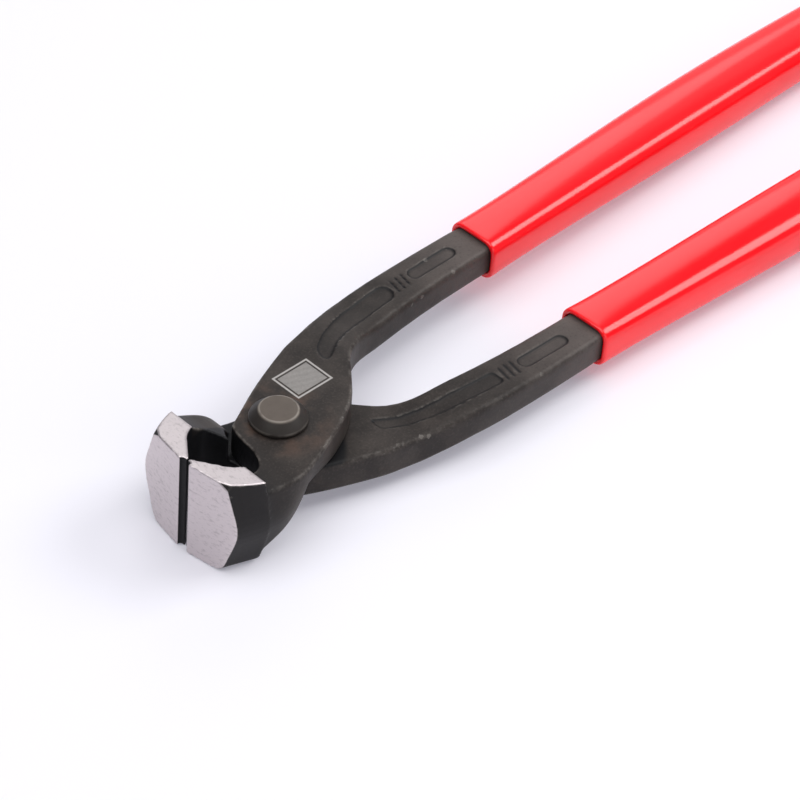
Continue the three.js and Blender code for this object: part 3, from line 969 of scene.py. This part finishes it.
@dataclass
class Grip:
    """One dipped sleeve, drawn from the bottom of its bore round the rim to its closed end. Sizes in millimetres."""

    side: Side
    seat_gap: float = 0.3
    bore_corner: float = 2.0
    lip: float = 0.55
    end_round: float = 8.0
    tip_inset: float = 5.0
    flat_cuts: int = 3
    corner_steps: int = 4
    bore_steps: int = 6
    smooth_levels: int = 2
    skin_roundness: float = 0.07
    lip_roundness: float = 0.03
    end_roundness: float = 0.1
    lip_turns_in: Tuple[float, ...] = (30, 60, 90)
    lip_turns_out: Tuple[float, ...] = (90, 55, 25)
    end_turns: Tuple[float, ...] = (0, 20, 40, 60, 75, 90)
    skin_places: Tuple[float, ...] = (0.02, 0.05, 0.10, 0.18, 0.28, 0.40, 0.52, 0.66, 0.80, 0.92)

    def build(self) -> bpy.types.Object:
        """Draws the sleeve and smooths it.

        Returns:
            The sleeve's piece.
        """
        low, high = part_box(self.side.grip_node)
        tang_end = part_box(self.side.lever_node)[0].x
        rim = high.x
        drawer = self._start(tang_end - self.seat_gap * MM)
        for step in range(1, self.bore_steps + 1):
            x = tang_end + (rim - tang_end) * step / self.bore_steps
            drawer.draw(self._bore(min(x, rim - self.lip * MM)))
        self._turn_lip(drawer, rim)
        round_start = low.x + self.end_round * MM
        for share in self.skin_places:
            drawer.draw(self._skin(rim + (round_start - rim) * share), self.skin_roundness)
        self._round_end(drawer, low.x, self._skin(round_start))
        piece = drawer.close()
        apply_modifier(piece, "SUBSURF", levels=self.smooth_levels, render_levels=self.smooth_levels)
        only(piece)
        bpy.ops.object.shade_smooth()
        return piece

    def _bore(self, x: float) -> Section:
        """Section of the bore, a seat gap larger than the tang in it."""
        return Section.of_node(self.side.lever_node, x, self.seat_gap * MM)

    def _skin(self, x: float) -> Section:
        """Section of the sleeve's outside."""
        return Section.of_node(self.side.grip_node, x)

    def _start(self, x: float) -> FaceDrawer:
        """Makes the bottom of the bore: a plate with rounded corners and divided sides.

        Args:
            x: Place of the plate.

        Returns:
            The drawer, with the plate selected.
        """
        section = self._bore(x + 2 * self.seat_gap * MM)
        section.x = x
        bpy.ops.object.select_all(action="DESELECT")
        bpy.ops.mesh.primitive_plane_add(
            size=1.0, location=(x, section.y, section.z), rotation=(0, math.pi / 2, 0)
        )
        bpy.context.object.scale = (section.height, section.width, 1.0)
        drawer = FaceDrawer(f"{self.side.body}_sleeve")
        bpy.ops.mesh.bevel(affect="VERTICES", offset=self.bore_corner * MM, segments=self.corner_steps)
        data = bmesh.from_edit_mesh(drawer.piece.data)
        for edge in data.edges:
            edge.select_set(edge.calc_length() > self.bore_corner * MM)
        bmesh.update_edit_mesh(drawer.piece.data)
        bpy.ops.mesh.subdivide(number_cuts=self.flat_cuts)
        bpy.ops.mesh.select_all(action="SELECT")
        return drawer

    def _turn_lip(self, drawer: FaceDrawer, rim: float) -> None:
        """Turns the rim outward in a small rounded lip.

        Args:
            drawer: The drawer, at the inside of the rim.
            rim: Place of the rim.
        """
        radius = self.lip * MM
        inside, outside = self._bore(rim - radius), self._skin(rim - radius)
        for turn in map(math.radians, self.lip_turns_in):
            drawer.draw(inside.shrunk(rim - radius * (1 - math.sin(turn)), -radius * (1 - math.cos(turn))))
        for turn in map(math.radians, self.lip_turns_out):
            ring = outside.shrunk(rim - radius * (1 - math.sin(turn)), radius * (1 - math.cos(turn)))
            drawer.draw(ring, self.lip_roundness)
        drawer.draw(self._skin(rim - 2 * radius))

    def _round_end(self, drawer: FaceDrawer, end: float, section: Section) -> None:
        """Closes the sleeve with a rounded end.

        Args:
            drawer: The drawer, before the rounded end.
            end: Place of the sleeve's tip.
            section: Section where the rounding starts.
        """
        for turn in map(math.radians, self.end_turns):
            x = end + self.end_round * MM * (1 - math.sin(turn))
            drawer.draw(section.shrunk(x, self.tip_inset * MM * (1 - math.cos(turn))), self.end_roundness)

    def dress(self, piece: bpy.types.Object, material: bpy.types.Material) -> None:
        """Gives the sleeve its finish and its body."""
        piece.data.materials.append(material)
        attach(piece, self.side.body)
        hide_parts(self.side.grip_node)


# Studio


@dataclass
class Lamp:
    """One soft white area lamp, in metres and watts."""

    name: str
    place: Triple
    size: Span
    power: float

    def build(self, aim: Vector) -> None:
        """Adds the lamp.

        Args:
            aim: The point that it faces.
        """
        data = bpy.data.lights.new(self.name, "AREA")
        data.shape = "RECTANGLE"
        data.energy = self.power
        data.size, data.size_y = self.size
        lamp = bpy.data.objects.new(self.name, data)
        lamp.location = self.place
        lamp.rotation_euler = (aim - lamp.location).to_track_quat("-Z", "Y").to_euler()
        bpy.context.scene.collection.objects.link(lamp)


@dataclass
class Studio:
    """White table, soft light and the photograph's camera. Lengths in metres, angles in degrees."""

    table_size: float = 6.0
    table_tilt: float = 1.3
    table_edge_x: float = 0.1305
    table_white: Colour = (0.87, 0.86, 0.90)
    table_lift: float = 0.22
    shadow_tint: Colour = (0.88, 0.86, 1.0)
    sky: Colour = (0.86, 0.88, 1.0)
    sky_strength: float = 0.2
    camera_place: Triple = (0.439576, 0.321708, 0.435502)
    camera_turn: Triple = (48.218, -3.7925, 134.9323)
    lens: float = 135.0
    sensor: float = 36.0
    aim: Triple = (0.05, 0.0, 0.0)
    lamps: Tuple[Lamp, ...] = (
        Lamp("overhead", (0.35, -0.05, 1.30), (1.2, 1.8), 15.0),
        Lamp("back_card", (-1.25, -1.05, 0.72), (2.6, 1.4), 5.0),
        Lamp("top_card", (-0.84, -0.83, 0.93), (0.5, 0.8), 1.6),
        Lamp("softbox", (-0.78, 0.46, 1.00), (0.8, 0.6), 9.0),
        Lamp("fill", (0.25, 1.20, 0.55), (1.4, 0.9), 4.5),
    )

    def build(self) -> None:
        """Adds table, sky, lamps and camera, and sets the plain view transform."""
        self._table()
        self._sky()
        for lamp in self.lamps:
            lamp.build(Vector(self.aim))
        self._camera()
        bpy.context.scene.view_settings.view_transform = "Standard"

    def _table(self) -> None:
        """Adds the table, tilted to touch both the jaws' sole and the ends of the grips."""
        bpy.ops.object.select_all(action="DESELECT")
        bpy.ops.mesh.primitive_plane_add(size=self.table_size, location=(self.table_edge_x, 0, 0))
        table = bpy.context.object
        table.name = "table"
        table.rotation_euler = (0, math.radians(self.table_tilt), 0)
        table.data.materials.append(self._table_white())

    def _table_white(self) -> bpy.types.Material:
        """White table that keeps a lightened shadow where the camera or a reflection sees it."""
        board = Board("table_white")
        seen = board.node("ShaderNodeLightPath", {}, {}, "Is Camera Ray")
        seen = seen.most(seen.other("Is Glossy Ray")).most(seen.other("Is Transmission Ray"))
        paper = board.node("ShaderNodeBsdfDiffuse", {}, {"Color": self.table_white})
        glow = board.node("ShaderNodeEmission", {}, {"Color": self.shadow_tint, "Strength": 1.0})
        mixed = board.node("ShaderNodeMixShader", {}, {0: seen * self.table_lift, 1: paper, 2: glow})
        board.node("ShaderNodeOutputMaterial", {}, {"Surface": mixed})
        return board.material

    def _sky(self) -> None:
        """Lights the scene faintly and evenly from all round."""
        world = bpy.data.worlds.new("sky")
        world.use_nodes = True
        back = world.node_tree.nodes["Background"]
        back.inputs["Color"].default_value = (*self.sky, 1.0)
        back.inputs["Strength"].default_value = self.sky_strength
        bpy.context.scene.world = world

    def _camera(self) -> None:
        """Adds the camera at the photograph's place and angle."""
        data = bpy.data.cameras.new("camera")
        data.lens, data.sensor_width = self.lens, self.sensor
        data.dof.use_dof = False
        camera = bpy.data.objects.new("camera", data)
        camera.location = self.camera_place
        camera.rotation_euler = [math.radians(turn) for turn in self.camera_turn]
        bpy.context.scene.collection.objects.link(camera)
        bpy.context.scene.camera = camera


def report(piece: bpy.types.Object) -> None:
    """Logs a finished piece and its number of faces."""
    LOG.info("%s: %d faces", piece.name, len(piece.data.polygons))


def main() -> None:
    """Builds and dresses the pieces, then the studio."""
    logging.basicConfig(level=logging.INFO, format="%(name)s %(message)s")
    steel = ForgedSteel()
    vinyl = DippedVinyl().material()
    for side in Side:
        lever = Lever(side)
        forging = lever.build()
        lever.dress(forging, steel)
        report(forging)
        grip = Grip(side)
        sleeve = grip.build()
        grip.dress(sleeve, vinyl)
        report(sleeve)
    rivet = Rivet()
    pin = rivet.build()
    rivet.dress(pin, RivetSteel())
    report(pin)
    Studio().build()


if __name__ == "__main__":
    main()
